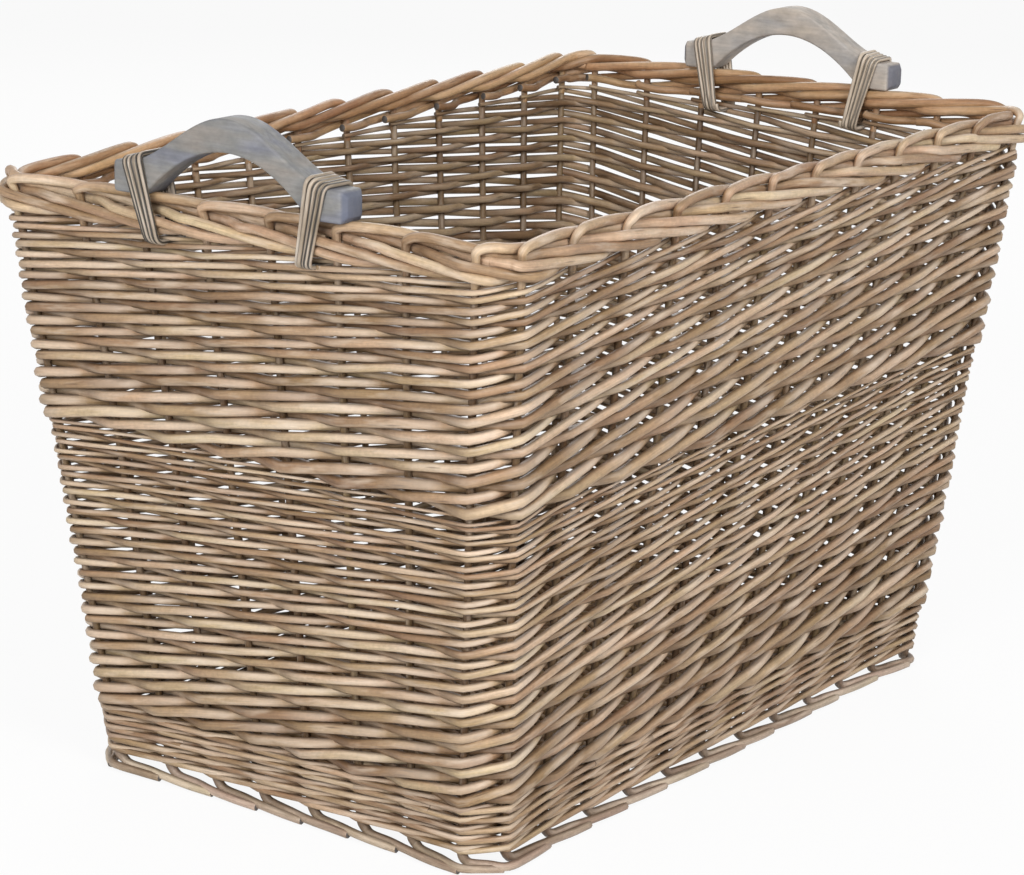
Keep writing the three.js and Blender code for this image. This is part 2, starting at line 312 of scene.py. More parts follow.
def leaned(points):
    """The points raised or lowered with the rim."""
    result = np.array(points, dtype=float)
    reach_x, reach_y, top = HEADS.max(axis=0)
    share_x = np.clip(0.5 + result[:, 0] / reach_x / 2, 0, 1)
    share_y = np.clip(0.5 + result[:, 1] / reach_y / 2, 0, 1)
    ends = [front * (1 - share_y) + back * share_y for front, back in CORNER_LIFTS]
    lift = ends[0] * (1 - share_x) + ends[1] * share_x
    result[:, 2] += lift * np.clip(result[:, 2] / top, 0, 1) ** 2
    return result


def smooth_curve(points, steps):
    """A smooth curve through the points, with that many steps between each two of them."""
    points = np.asarray(points, dtype=float)
    padded = np.vstack([2 * points[0] - points[1], points, 2 * points[-1] - points[-2]])
    p0, p1, p2, p3 = padded[:-3], padded[1:-2], padded[2:-1], padded[3:]
    t = np.linspace(0, 1, steps, endpoint=False)[:, None, None]
    curve = 0.5 * (2 * p1 + (p2 - p0) * t + (2 * p0 - 5 * p1 + 4 * p2 - p3) * t ** 2
                   + (3 * p1 - p0 - 3 * p2 + p3) * t ** 3)
    curve = curve.transpose(1, 0, 2).reshape(-1, points.shape[1])
    return np.vstack([curve, points[-1:]])


def softened(path):
    """The path with its sharp turns slightly rounded, and its ends left in place."""
    result = path.copy()
    result[1:-1] = path[1:-1] * (1 - 2 * SOFTENING) + (path[:-2] + path[2:]) * SOFTENING
    return result


def seam_lift(places, heights):
    """How far the weave is raised at places round the basket, most where its two bands meet."""
    levels = [millimetres(node)[0][2] for node in ("lower_rand", "upper_rand", "rim_border")]
    lift = np.interp(places % STAKE_COUNT, SEAM_PLACES, SEAM_LIFTS)
    return lift * np.interp(heights, levels, [0, 1, 0])


def wander(count, size, spread):
    """A smooth random wander of that many values."""
    knots = RANDOM.normal(0, size, int(count / spread) + 4)
    return np.interp(np.arange(count) / spread, np.arange(len(knots)), knots)


class RodBundle:
    """Collects round rods and makes them one mesh, with the values that the materials read."""

    def __init__(self):
        self.points, self.faces, self.spaces, self.facings, self.values = [], [], [], [], []
        self.total = 0

    def add(self, path, radii, sides=ROD_SIDES, painted_shading=0.0):
        """Adds one rod along a path, with cut ends. Its painted shading is 1 where it is sunk in the weave,
        and a painted highlight below 0.
        """
        path = np.asarray(path, dtype=float)
        radii = np.broadcast_to(np.asarray(radii, dtype=float), (len(path),))
        painted_shading = np.broadcast_to(np.asarray(painted_shading, dtype=float), (len(path),))
        tone = RANDOM.rand()
        ends = np.array([path[1] - path[0], path[-1] - path[-2]])
        ends = ends / np.linalg.norm(ends, axis=1, keepdims=True)
        start = path[0] - ends[0] * radii[0] * END_LENGTH
        finish = path[-1] + ends[1] * radii[-1] * END_LENGTH
        path = np.vstack([start, path, finish])
        radii = np.concatenate([[radii[0] * END_RADIUS], radii, [radii[-1] * END_RADIUS]])
        painted_shading = np.concatenate([painted_shading[:1], painted_shading, painted_shading[-1:]])
        side, up = rod_frames(path)
        angles = np.arange(sides) * 2 * math.pi / sides
        ring = np.stack([np.cos(angles), np.sin(angles)], axis=1)
        offsets = side[:, None, :] * ring[None, :, :1] + up[:, None, :] * ring[None, :, 1:]
        points = path[:, None, :] + offsets * radii[:, None, None]
        lengths = np.concatenate([[0], np.cumsum(np.linalg.norm(np.diff(path, axis=0), axis=1))])
        space = np.empty(points.shape)
        space[:, :, :2] = ring[None]
        space[:, :, 2] = lengths[:, None] + tone * GRAIN_SHIFT
        facing = np.zeros(points.shape)
        facing[:, :, 0] = (offsets * outward_from(path)[:, None, :]).sum(axis=2)
        facing[:, :, 1] = offsets[:, :, 2]
        cut = np.zeros(len(path))
        cut[[0, -1]] = 1
        values = np.stack([np.full(len(path), tone), painted_shading, cut], axis=1)
        self.join(len(path), sides)
        self.points.append(points.reshape(-1, 3))
        self.spaces.append(space.reshape(-1, 3))
        self.facings.append(facing.reshape(-1, 3))
        self.values.append(np.repeat(values, sides, axis=0))
        self.total += len(path) * sides

    def join(self, rings, sides):
        """Joins the rings of one rod by faces."""
        start = self.total + np.arange(rings - 1)[:, None] * sides
        this = np.arange(sides)[None]
        after = (np.arange(sides)[None] + 1) % sides
        quads = np.stack([start + this, start + after, start + sides + after, start + sides + this], axis=2)
        self.faces.extend(quads.reshape(-1, 4).tolist())
        self.faces.append((self.total + np.arange(sides)[::-1]).tolist())
        self.faces.append((self.total + (rings - 1) * sides + np.arange(sides)).tolist())

    def make(self, name, material):
        """The rods as one Blender object."""
        mesh = bpy.data.meshes.new(name)
        mesh.from_pydata((leaned(np.vstack(self.points)) * MM).tolist(), [], self.faces)
        mesh.polygons.foreach_set("use_smooth", [True] * len(mesh.polygons))
        for title, vectors in (("rod_space", self.spaces), ("rod_facing", self.facings)):
            attribute = mesh.attributes.new(title, "FLOAT_VECTOR", "POINT")
            attribute.data.foreach_set("vector", np.vstack(vectors).ravel())
        values = np.vstack(self.values)
        for column, title in enumerate(("rod_tone", "rod_painted_shading", "cut_end")):
            attribute = mesh.attributes.new(title, "FLOAT", "POINT")
            attribute.data.foreach_set("value", np.ascontiguousarray(values[:, column]))
        return place(name, mesh, material)


def rod_frames(path):
    """Two directions across the path at each of its points, turned along it without twist."""
    along = np.gradient(path, axis=0)
    along = along / np.linalg.norm(along, axis=1, keepdims=True)
    start = np.array([0.0, 0.0, 1.0]) if abs(along[0, 2]) < UPRIGHT else np.array([1.0, 0.0, 0.0])
    side = np.empty_like(path)
    for index, direction in enumerate(along):
        start = start - direction * np.dot(start, direction)
        start = start / math.sqrt(np.dot(start, start))
        side[index] = start
    return side, np.cross(along, side)


def place(name, mesh, material):
    """Links a mesh into the scene as an object with one material."""
    mesh.materials.append(material)
    thing = bpy.data.objects.new(name, mesh)
    bpy.context.scene.collection.objects.link(thing)
    return thing


def stand_for(thing, slot, *nodes):
    """The thing stands for those CAD nodes."""
    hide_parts(*nodes)
    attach(thing, "root")


def linear(code):
    """A colour written as six hexadecimal digits, as the linear values that a shader takes."""
    values = [int(code[index:index + 2], 16) / 255 for index in (0, 2, 4)]
    values = [value / 12.92 if value <= 0.04045 else ((value + 0.055) / 1.055) ** 2.4 for value in values]
    return (*values, 1.0)


def add_node(tree, kind, inputs=None, **settings):
    """Adds one shader node with its settings, and sets or links its inputs."""
    node = tree.nodes.new(kind)
    for name, value in settings.items():
        setattr(node, name, value)
    for name, value in (inputs or {}).items():
        if isinstance(value, bpy.types.NodeSocket):
            tree.links.new(value, node.inputs[name])
        else:
            node.inputs[name].default_value = value
    return node


def start_material(name):
    """A new material with its node tree and its main shader."""
    material = bpy.data.materials.new(name)
    material.use_nodes = True
    tree = material.node_tree
    return material, tree, tree.nodes["Principled BSDF"]


def read_value(tree, name, output="Fac"):
    """A value stored with the mesh."""
    return add_node(tree, "ShaderNodeAttribute", attribute_name=name).outputs[output]


def scaled(tree, vector, scale):
    return add_node(tree, "ShaderNodeMapping", {"Vector": vector, "Scale": scale}).outputs["Vector"]


def separated(tree, vector):
    """The X, Y and Z of a vector."""
    return add_node(tree, "ShaderNodeSeparateXYZ", {"Vector": vector}).outputs


def noise(tree, vector, detail=2.0, roughness=0.55):
    settings = {"Vector": vector, "Scale": 1.0, "Detail": detail, "Roughness": roughness}
    return add_node(tree, "ShaderNodeTexNoise", settings).outputs["Fac"]


def remap(tree, value, low, high, to_low, to_high):
    """Takes a value from one range to another, without going past its ends."""
    settings = {"Value": value, "From Min": low, "From Max": high, "To Min": to_low, "To Max": to_high}
    return add_node(tree, "ShaderNodeMapRange", settings).outputs["Result"]


def stretched(tree, value, to_low, to_high):
    """Takes a noise to a range."""
    return remap(tree, value, *NOISE_RANGE, to_low, to_high)


def reckon(tree, operation, first, second):
    node = add_node(tree, "ShaderNodeMath", {0: first, 1: second}, operation=operation)
    return node.outputs["Value"]


def blended(tree, amount, first, second, blend="MIX"):
    """Mixes two colours. The mix node has sockets for every kind of value, and 6, 7 and 2 are its colours."""
    inputs = {0: amount, 6: first, 7: second}
    return add_node(tree, "ShaderNodeMix", inputs, data_type="RGBA", blend_type=blend).outputs[2]


def ramp(tree, value, colours):
    """Spreads colours evenly over values from 0 to 1."""
    node = add_node(tree, "ShaderNodeValToRGB", {"Fac": value})
    stops = node.color_ramp.elements
    while len(stops) < len(colours):
        stops.new(0.5)
    for index, code in enumerate(colours):
        stops[index].position = index / (len(colours) - 1)
        stops[index].color = linear(code)
    return node.outputs["Color"]


def darkened(tree, colour, value):
    """The colour times a value."""
    return add_node(tree, "ShaderNodeHueSaturation", {"Value": value, "Color": colour}).outputs["Color"]


def finish_surface(tree, shader, colour, roughness, height, strength, distance):
    """Links a material's colour, roughness and relief to its main shader. The distance is in millimetres."""
    tree.links.new(colour, shader.inputs["Base Color"])
    tree.links.new(roughness, shader.inputs["Roughness"])
    inputs = {"Height": height, "Strength": strength, "Distance": distance * MM}
    bump = add_node(tree, "ShaderNodeBump", inputs)
    tree.links.new(bump.outputs["Normal"], shader.inputs["Normal"])


def willow(name, colours, cut_colour, bloom, crevice_shade, inside_shade):
    """Willow bark: each rod's own tone drifts along it, with streaks, bud scars, pale bloom and painted shade
    and highlight.
    """
    material, tree, shader = start_material(name)
    space = read_value(tree, "rod_space", "Vector")
    drift = noise(tree, scaled(tree, space, (0.3, 0.3, 0.011)), 3.0)
    tone = reckon(tree, "ADD", read_value(tree, "rod_tone"), stretched(tree, drift, -0.32, 0.32))
    colour = ramp(tree, tone, colours)
    hue = noise(tree, scaled(tree, space, (0.2, 0.2, 0.006)), 1.0)
    tint = ramp(tree, remap(tree, hue, 0.32, 0.68, 0.0, 1.0), ROD_TINTS)
    colour = blended(tree, 1.0, colour, tint, "MULTIPLY")
    streak = noise(tree, scaled(tree, space, (3.2, 3.2, 0.06)), 4.0, 0.6)
    grain = noise(tree, scaled(tree, space, (1.1, 1.1, 0.35)), 3.0)
    streak_shade = stretched(tree, streak, 0.78, 1.16)
    grain_shade = stretched(tree, grain, 0.88, 1.10)
    colour = darkened(tree, colour, reckon(tree, "MULTIPLY", streak_shade, grain_shade))
    pale = noise(tree, scaled(tree, space, (0.5, 0.5, 0.03)), 3.0)
    colour = blended(tree, remap(tree, pale, 0.50, 0.74, 0.0, bloom), colour, linear(BLOOM_COLOUR))
    spots = scaled(tree, space, (0.8, 0.8, 0.021))
    scars = add_node(tree, "ShaderNodeTexVoronoi", {"Vector": spots, "Scale": 1.0}).outputs["Distance"]
    colour = blended(tree, remap(tree, scars, 0.05, 0.17, 0.6, 0.0), colour, linear(SCAR_COLOUR))
    # Painted highlight where a rod swings out before it dives behind a stake, and painted shade where it is
    # sunk.
    painted_shading = read_value(tree, "rod_painted_shading")
    colour = blended(tree, remap(tree, painted_shading, 0.0, -0.3, 0.0, 0.4), colour, linear(PAINTED_HIGHLIGHT_COLOUR))
    colour = blended(tree, remap(tree, painted_shading, 0.0, 1.0, 0.0, 0.6), colour, linear(SUNK_SHADE_COLOUR))
    facing = separated(tree, read_value(tree, "rod_facing", "Vector"))
    # Painted shade above and below each rod, in the crevices where it lies against its neighbours.
    upward = reckon(tree, "MULTIPLY", facing["Y"], facing["Y"])
    colour = blended(tree, remap(tree, upward, 0.45, 1.0, 0.0, crevice_shade), colour, linear(CREVICE_SHADE_COLOUR))
    # Painted shade on the side of a rod that faces into the basket.
    inner = remap(tree, facing["X"], 0.0, -0.8, 0.0, 1.0)
    colour = blended(tree, inner, colour, linear(inside_shade), "MULTIPLY")
    colour = blended(tree, read_value(tree, "cut_end"), colour, linear(cut_colour))
    relief = reckon(tree, "ADD", streak, reckon(tree, "MULTIPLY", grain, 0.7))
    finish_surface(tree, shader, colour, stretched(tree, streak, 0.42, 0.60), relief, 0.35, 0.6)
    return material


def washed_wood(name, colours):
    """Grey-washed wood: mottled, with faint long grain, worn warmer patches, a fine relief and dark ends."""
    material, tree, shader = start_material(name)
    where = add_node(tree, "ShaderNodeTexCoord").outputs["Object"]
    grain = noise(tree, scaled(tree, where, (420.0, 30.0, 420.0)), 4.0, 0.6)
    mottle = noise(tree, scaled(tree, where, (150.0, 90.0, 150.0)), 4.0, 0.6)
    broad = noise(tree, scaled(tree, where, (60.0, 16.0, 60.0)), 3.0)
    colour = ramp(tree, stretched(tree, broad, 0.0, 1.0), colours)
    grain_shade = stretched(tree, grain, 0.85, 1.08)
    mottle_shade = stretched(tree, mottle, 0.80, 1.12)
    colour = darkened(tree, colour, reckon(tree, "MULTIPLY", grain_shade, mottle_shade))
    along = reckon(tree, "ABSOLUTE", separated(tree, where)["Y"], 0.0)
    half = CAD_HANDLE_LENGTH / 2
    end = remap(tree, along, half - HANDLE_DARK_START * MM, half - HANDLE_DARK_FULL * MM, 0.0, 0.8)
    colour = blended(tree, end, colour, linear(HANDLE_END_COLOUR))
    shader.inputs["Specular IOR Level"].default_value = 0.35
    finish_surface(tree, shader, colour, stretched(tree, grain, 0.72, 0.56), grain, 0.25, 0.5)
    return material


def peeled_cane(name, colours, between_shade):
    """Peeled cane: slightly glossy, with fine lines along it, and painted shade on its flanks down to the
    given value.
    """
    material, tree, shader = start_material(name)
    space = read_value(tree, "rod_space", "Vector")
    line = noise(tree, scaled(tree, space, (4.0, 4.0, 0.05)), 3.0)
    broad = noise(tree, scaled(tree, space, (0.3, 0.3, 0.04)), 2.0)
    colour = ramp(tree, stretched(tree, broad, 0.0, 1.0), colours)
    colour = darkened(tree, colour, stretched(tree, line, 0.82, 1.08))
    # Painted shade on the flanks, where one strand lies against the next.
    across = separated(tree, space)["Y"]
    flank_shade = remap(tree, reckon(tree, "MULTIPLY", across, across), 0.45, 0.92, 1.0, between_shade)
    colour = darkened(tree, colour, flank_shade)
    colour = blended(tree, read_value(tree, "cut_end"), colour, linear(CANE_CUT))
    finish_surface(tree, shader, colour, stretched(tree, line, 0.5, 0.38), line, 0.3, 0.3)
    return material


def rand_band(node, layers, taper, tip_fill, overrun, material):
    """A band with one tapering rod started at each stake, in front of two stakes and behind the next."""
    low, high = millimetres(node)
    height = high[2] - low[2] + overrun
    butt = 2 * height / (layers * (1 + taper))
    tip = butt * taper
    steps = np.arange(-STEPS_PER_STAKE - 1, (layers - 1) * STEPS_PER_STAKE + 2) / STEPS_PER_STAKE
    climb = np.clip(steps, 0, None)
    thickness = butt + (tip - butt) * climb / (layers - 1)
    rise = low[2] + butt / 2 + butt * climb + (tip - butt) * climb ** 2 / (2 * (layers - 1))
    phases = steps % PATTERN
    rise += np.interp(phases, RISE_PLACES, RAND_RISES) * ROD_NEST * thickness
    swing = np.interp(phases, SWING_PLACES, SWINGS)
    # Painted shade where the rod is sunk in the weave, and a painted highlight where it swings out.
    painted_shading = np.interp(phases, SHADE_PLACES, SHADES)
    fills = [ROD_FILL, tip_fill, tip_fill * ROD_END_FILL]
    fill = np.interp(steps, [0, layers - 3, layers - 1], fills)
    bundle = RodBundle()
    for first in range(STAKE_COUNT):
        radii = thickness / 2 * fill * RANDOM.uniform(*ROD_VARIETY)
        height_wander = wander(len(steps), ROD_HEIGHT_WANDER, STEPS_PER_STAKE)
        reach_wander = wander(len(steps), ROD_REACH_WANDER, STEPS_PER_STAKE)
        heights = rise + seam_lift(first + steps, rise) + height_wander
        reaches = (STAKE_RADIUS + radii) * swing + reach_wander
        bundle.add(softened(wall_points(first + steps, heights, reaches)), radii, painted_shading=painted_shading)
    return bundle.make(node, material)


def wale_band(node, material):
    """Rows of three thin rods twined round the stakes, each in front of two and behind one."""
    low, high = millimetres(node)
    bottom = low[2] - WALE_SAG
    pitch = (high[2] - bottom) / WALE_ROWS
    steps = np.arange(0, STAKE_COUNT + WALE_OVERLAP, 1 / STEPS_PER_STAKE)
    front = STAKE_RADIUS + WALE_RADIUS
    bundle = RodBundle()
    for row in range(WALE_ROWS):
        middle = bottom + pitch * (row + 0.5)
        places = WALE_FIRST_STAKE + row * WALE_ROW_SHIFT + steps
        for strand in range(WALE_STRANDS):
            phases = (steps + strand) % PATTERN
            lift = np.interp(phases, RISE_PLACES, WALE_RISES) * WALE_LIFT
            heights = middle + lift + wander(len(steps), WALE_WANDER, STEPS_PER_STAKE)
            swing = np.interp(phases, SWING_PLACES, SWINGS)
            reaches = front * swing + wander(len(steps), WALE_WANDER, STEPS_PER_STAKE)
            path = softened(wall_points(places, heights, reaches))
            # Painted shade where the strand is sunk in the weave, and a painted highlight where it swings
            # out.
            painted_shading = np.interp(phases, SHADE_PLACES, SHADES)
            bundle.add(path, WALE_RADIUS * RANDOM.uniform(*WALE_VARIETY), painted_shading=painted_shading)
    return bundle.make(node, material)


def rim_border(node, material):
    """The stakes' upper ends: kinked, behind two stakes, in front of two, and in under the border."""
    low, high = millimetres(node)
    crest = high[2] + BORDER_CREST - BORDER_RADIUS
    touch = STAKE_RADIUS + BORDER_RADIUS + BORDER_GAP
    # Each knot of a rod: its place in stakes from the rod's own, its height and its reach.
    knots = np.array([
        (0.00, low[2] - 4.0, 0.0),
        (0.00, crest - 8.0, 0.0),
        (0.03, crest - 1.4, 1.4),
        (0.32, crest + 0.4, -1.0),
        (1.00, crest - 1.6, -touch),
        (2.00, crest - 7.6, -touch),
        (2.35, crest - 8.0, -1.0),
        (2.70, crest - 8.6, touch * 0.9),
        (3.00, crest - 10.0, touch),
        (4.00, crest - 16.6, touch),
        (4.45, crest - 18.0, touch * 0.65),
        (4.75, crest - 17.6, -touch * 0.5),
        (5.02, crest - 16.4, -touch),
        (5.20, crest - 15.6, -touch * 1.05),
    ])
    bundle = RodBundle()
    for first in range(STAKE_COUNT):
        places = first + knots[:, 0] + RANDOM.normal(0, BORDER_PLACE_WANDER, len(knots))
        places[:2] = first
        places[-1] += RANDOM.uniform(*BORDER_TIP_STRAY)
        heights = knots[:, 1] + RANDOM.normal(0, BORDER_HEIGHT_WANDER, len(knots))
        reaches = knots[:, 2] + RANDOM.normal(0, BORDER_REACH_WANDER, len(knots))
        path = smooth_curve(wall_points(places, heights, reaches), BORDER_STEPS)
        along = np.linspace(0, 1, len(path))
        radii = np.interp(along, [0, 0.3, 1], [STAKE_RADIUS, BORDER_RADIUS, BORDER_TIP_RADIUS])
        # Painted shade on the rod's upright start below the border and on its tail inside the basket.
        painted_shading = np.interp(along, [0.05, 0.15, 0.74, 0.84], [0.4, 0.0, 0.0, 0.55])
        bundle.add(softened(path), radii, sides=FINE_ROD_SIDES, painted_shading=painted_shading)
    return bundle.make(node, material)


def foot_border(node, material):
    """The stakes' lower ends: bent aside, each sloping down to the ground under the next one's start."""
    upsett = millimetres("upsett_wale")[0][2] - WALE_SAG
    ground = FOOT_ROD_RADIUS + FOOT_GAP
    # Each knot of a rod: its place in stakes from the rod's own, its height and its reach.
    knots = np.array([
        (0.00, upsett + 8.0, 0.0),
        (0.00, upsett + 2.0, 0.0),
        (0.03, upsett - 2.0, 0.2),
        (0.10, ground + 4.4, 0.5),
        (0.24, ground + 2.4, 1.2),
        (0.60, ground + 1.7, 2.4),
        (1.00, ground + 1.2, 5.2),
        (1.50, ground + 0.2, 6.3),
        (1.92, ground - 0.3, 6.3),
    ])
    bundle = RodBundle()
    for first in range(STAKE_COUNT):
        places = first + knots[:, 0]
        places[-1] += RANDOM.uniform(*FOOT_TIP_STRAY)
        reaches = knots[:, 2] + RANDOM.normal(0, FOOT_REACH_WANDER, len(knots))
        path = smooth_curve(wall_points(places, knots[:, 1], reaches), BORDER_STEPS)
        along = np.linspace(0, 1, len(path))
        radii = np.interp(along, [0, 1], [FOOT_ROD_RADIUS, FOOT_TIP_RADIUS])
        # Painted shade along the first part of each rod, where it bends down from its stake.
        bundle.add(path, radii, painted_shading=np.interp(along, [0.25, 0.5], [1.0, 0.0]))
    return bundle.make(node, material)


def stake(name, number, material):
    """One upright stake."""
    bottom = millimetres("upsett_wale")[0][2] - WALE_SAG
    top = millimetres("rim_border")[0][2]
    places = np.full(STAKE_POINTS, float(number))
    heights = np.linspace(bottom, top, STAKE_POINTS)
    reaches = wander(STAKE_POINTS, STAKE_WANDER, STAKE_WANDER_SPREAD)
    bundle = RodBundle()
    bundle.add(wall_points(places, heights, reaches), STAKE_RADIUS * RANDOM.uniform(*STAKE_VARIETY))
    return bundle.make(name, material)


def floor_weave(node, stick_names, material):
    """Rods across the floor, over one stick and under the next."""
    low, high = millimetres(node)
    middle = (low[2] + high[2]) / 2
    sticks = []
    for name in stick_names:
        corner, opposite = millimetres(name)
        sticks.append((corner[1] + opposite[1]) / 2)
    sticks = sorted(sticks)
    crossings = [sticks[0]]
    for before, after in zip(sticks, sticks[1:]):
        crossings += [(before + after) / 2, after]
    half_length, half_width = high[0] + FLOOR_REACH, high[1] + FLOOR_REACH
    swing = FLOOR_STICK_RADIUS + FLOOR_ROD_RADIUS
    bundle = RodBundle()
    count = int(2 * half_length / FLOOR_ROD_PITCH)
    for index in range(count):
        x = half_length * ((2 * index + 1) / count - 1)
        reach = half_width - max(0, abs(x) - half_length + FLOOR_CORNER_CUT)
        knots = []
        for order, y in enumerate([-reach, *crossings, reach]):
            side = 0 if order % 2 == 0 else (-1) ** ((order - 1) // 2 + index)
            knots.append((x + RANDOM.normal(0, FLOOR_ROD_WANDER), y, middle + side * swing))
        radius = FLOOR_ROD_RADIUS * RANDOM.uniform(*FLOOR_ROD_VARIETY)
        bundle.add(smooth_curve(knots, FLOOR_ROD_STEPS), radius)
    return bundle.make(node, material)


def floor_stick(name, material):
    """One stick along the floor, slightly thinner at its far end."""
    low, high = millimetres(name)
    places = np.linspace(low[0], high[0], FLOOR_STICK_POINTS)
    sway = wander(FLOOR_STICK_POINTS, FLOOR_STICK_WANDER, FLOOR_STICK_WANDER_SPREAD)
    heights = np.full(FLOOR_STICK_POINTS, (low[2] + high[2]) / 2)
    path = np.stack([places, (low[1] + high[1]) / 2 + sway, heights], axis=1)
    bundle = RodBundle()
    bundle.add(path, FLOOR_STICK_RADIUS * np.linspace(1.0, FLOOR_STICK_TAPER, FLOOR_STICK_POINTS))
    return bundle.make(name, material)


def handle_top(along, crown):
    """The height of a handle's top above its seat, at places along it."""
    swell = 0.5 + 0.5 * np.cos(math.pi * np.minimum(np.abs(along) / (HANDLE_SWELL_SPAN / 2), 1))
    return HANDLE_PAD_HEIGHT + (crown - HANDLE_PAD_HEIGHT) * swell


def handle_underside(along, crown):
    """The height of a handle's underside above its seat, at places along it."""
    share = np.minimum(np.abs(along) / (HANDLE_ARCH_SPAN / 2), 1)
    return (crown - HANDLE_GRIP_DEPTH) * (1 - share ** 2)


def rounded_section(half_width, bottom, top, edge):
    """A rectangle with rounded corners, as points across and up."""
    points = []
    corners = ((1, top, 0), (-1, top, 90), (-1, bottom, 180), (1, bottom, 270))
    for side, level, start in corners:
        inward = -1 if level == top else 1
        for angle in np.radians(np.linspace(start, start + 90, HANDLE_EDGE_POINTS)):
            across = side * (half_width - edge) + edge * math.cos(angle)
            points.append((across, level + inward * edge + edge * math.sin(angle)))
    return points


def handle(node, material):
    """One arched wooden handle: rounded sections set along it, drawn in at its two ends."""
    low, high = millimetres(node)
    half, crown = (high[1] - low[1]) / 2, high[2] - low[2]
    middle = (low + high) / 2
    ends = half - HANDLE_END_CUT * np.array(HANDLE_END_PLACES)
    draws = HANDLE_END_CUT * np.array(HANDLE_END_DRAWS)
    inner = np.linspace(-ends[-1], ends[-1], HANDLE_SECTIONS)[1:-1]
    stations = np.concatenate([-ends, inner, ends[::-1]])
    insets = np.concatenate([draws, np.zeros(len(inner)), draws[::-1]])
    tops = handle_top(stations, crown) - insets
    bottoms = handle_underside(stations, crown) + insets
    shape = bmesh.new()
    rings = []
    for along, inset, bottom, top in zip(stations, insets, bottoms, tops):
        section = rounded_section((high[0] - low[0]) / 2 - inset, bottom, top, HANDLE_EDGE)
        points = leaned([(middle[0] + across, middle[1] + along, low[2] + up) for across, up in section])
        rings.append([shape.verts.new(point * MM) for point in points])
    count = len(rings[0])
    for ring, after in zip(rings, rings[1:]):
        for index in range(count):
            following = (index + 1) % count
            shape.faces.new((ring[index], ring[following], after[following], after[index]))
    shape.faces.new(rings[0])
    shape.faces.new(rings[-1])
    bmesh.ops.recalc_face_normals(shape, faces=shape.faces)
    for face in shape.faces:
        face.smooth = True
    mesh = bpy.data.meshes.new(node)
    shape.to_mesh(mesh)
    shape.free()
    return place(node, mesh, material)


def rounded_loop(corners, bend, steps):
    """A closed loop of straight runs with rounded corners, with the same count of points on each of them."""
    points = []
    count = len(corners)
    for index in range(count):
        before, here, after = corners[index - 1], corners[index], corners[(index + 1) % count]
        back = (before - here) / np.linalg.norm(before - here)
        on = (after - here) / np.linalg.norm(after - here)
        start, end = here + back * bend, here + on * bend
        for t in np.linspace(0, 1, steps):
            points.append(start * (1 - t) ** 2 + here * 2 * t * (1 - t) + end * t ** 2)
        far = after - on * bend
        for t in np.linspace(0, 1, steps + 2)[1:-1]:
            points.append(end * (1 - t) + far * t)
    return np.array(points)


def lashing(node, end, hand, material):
    """Turns of cane round a handle's foot and the rim, slanting in to the handle's middle as they go down."""
    handle_low, handle_high = millimetres("handle_2" if end > 0 else "handle_1")
    low, high = millimetres(node)
    sides = np.abs([low[0], high[0]])
    inner, outer = sides.min() + CANE_RADIUS, sides.max() - CANE_RADIUS
    bottom = low[2] + CANE_RADIUS
    tucked = outer - CANE_TUCK
    handle_inner = np.abs([handle_low[0], handle_high[0]]).min() - CANE_RADIUS - CANE_SIDE_GAP
    path = []
    for turn in range(CANE_TURNS + 1):
        shift = (turn - CANE_TURNS / 2) * CANE_PITCH
        rest = handle_top(CANE_HIGH_STATION + shift, handle_high[2] - handle_low[2])
        top = handle_low[2] + rest + CANE_RADIUS + CANE_TOP_GAP
        corners = np.array([(inner, bottom), (tucked, bottom), (outer, top), (handle_inner, top)])
        loop = rounded_loop(corners, CANE_BEND, CANE_BEND_POINTS)
        used = len(loop) if turn < CANE_TURNS else len(loop) // 4
        for index in range(used):
            x, z = loop[index]
            share = (z - bottom) / (top - bottom)
            spread = CANE_GATHER + (1 - CANE_GATHER) * share
            station = CANE_LOW_STATION + (CANE_HIGH_STATION - CANE_LOW_STATION) * share
            station += (shift + index / len(loop) * CANE_PITCH) * spread
            stacked = CANE_STACK * (turn % 2) * (1 - share)
            path.append((end * (x + stacked), end * hand * station, z))
    bundle = RodBundle()
    bundle.add(np.array(path), CANE_RADIUS, sides=FINE_ROD_SIDES)
    return bundle.make(node, material)


def build_wall():
    """The woven bands, the borders and the stakes."""
    weave = willow("willow_weave", WEAVE_COLOURS, BROWN_CUT, bloom=0.6, crevice_shade=0.75, inside_shade=COOL_INSIDE_SHADE)
    rim_wood = willow("willow_border", BORDER_COLOURS, GREY_CUT, bloom=0.6, crevice_shade=0.15, inside_shade=WARM_INSIDE_SHADE)
    foot_wood = willow("willow_foot", FOOT_COLOURS, GREY_CUT, bloom=0.6, crevice_shade=0.6, inside_shade=COOL_INSIDE_SHADE)
    stake_wood = willow("willow_stake", STAKE_TONE_AND_SHADE_COLOURS, GREY_CUT, bloom=0.35, crevice_shade=0.0, inside_shade=NO_INSIDE_SHADE)
    lower = rand_band("lower_rand", LOWER_LAYERS, LOWER_TAPER, LOWER_TIP_FILL, 0.0, weave)
    stand_for(lower, "willow_weave", "lower_rand")
    upper = rand_band("upper_rand", UPPER_LAYERS, UPPER_TAPER, UPPER_TIP_FILL, UPPER_OVERRUN, weave)
    stand_for(upper, "willow_weave", "upper_rand")
    stand_for(wale_band("upsett_wale", weave), "willow_weave", "upsett_wale")
    stand_for(rim_border("rim_border", rim_wood), "willow_border", "rim_border")
    stand_for(foot_border("foot_border", foot_wood), "willow_border", "foot_border")
    for number, name in enumerate(stake_names()):
        stand_for(stake(name, number, stake_wood), "willow_stake", name)


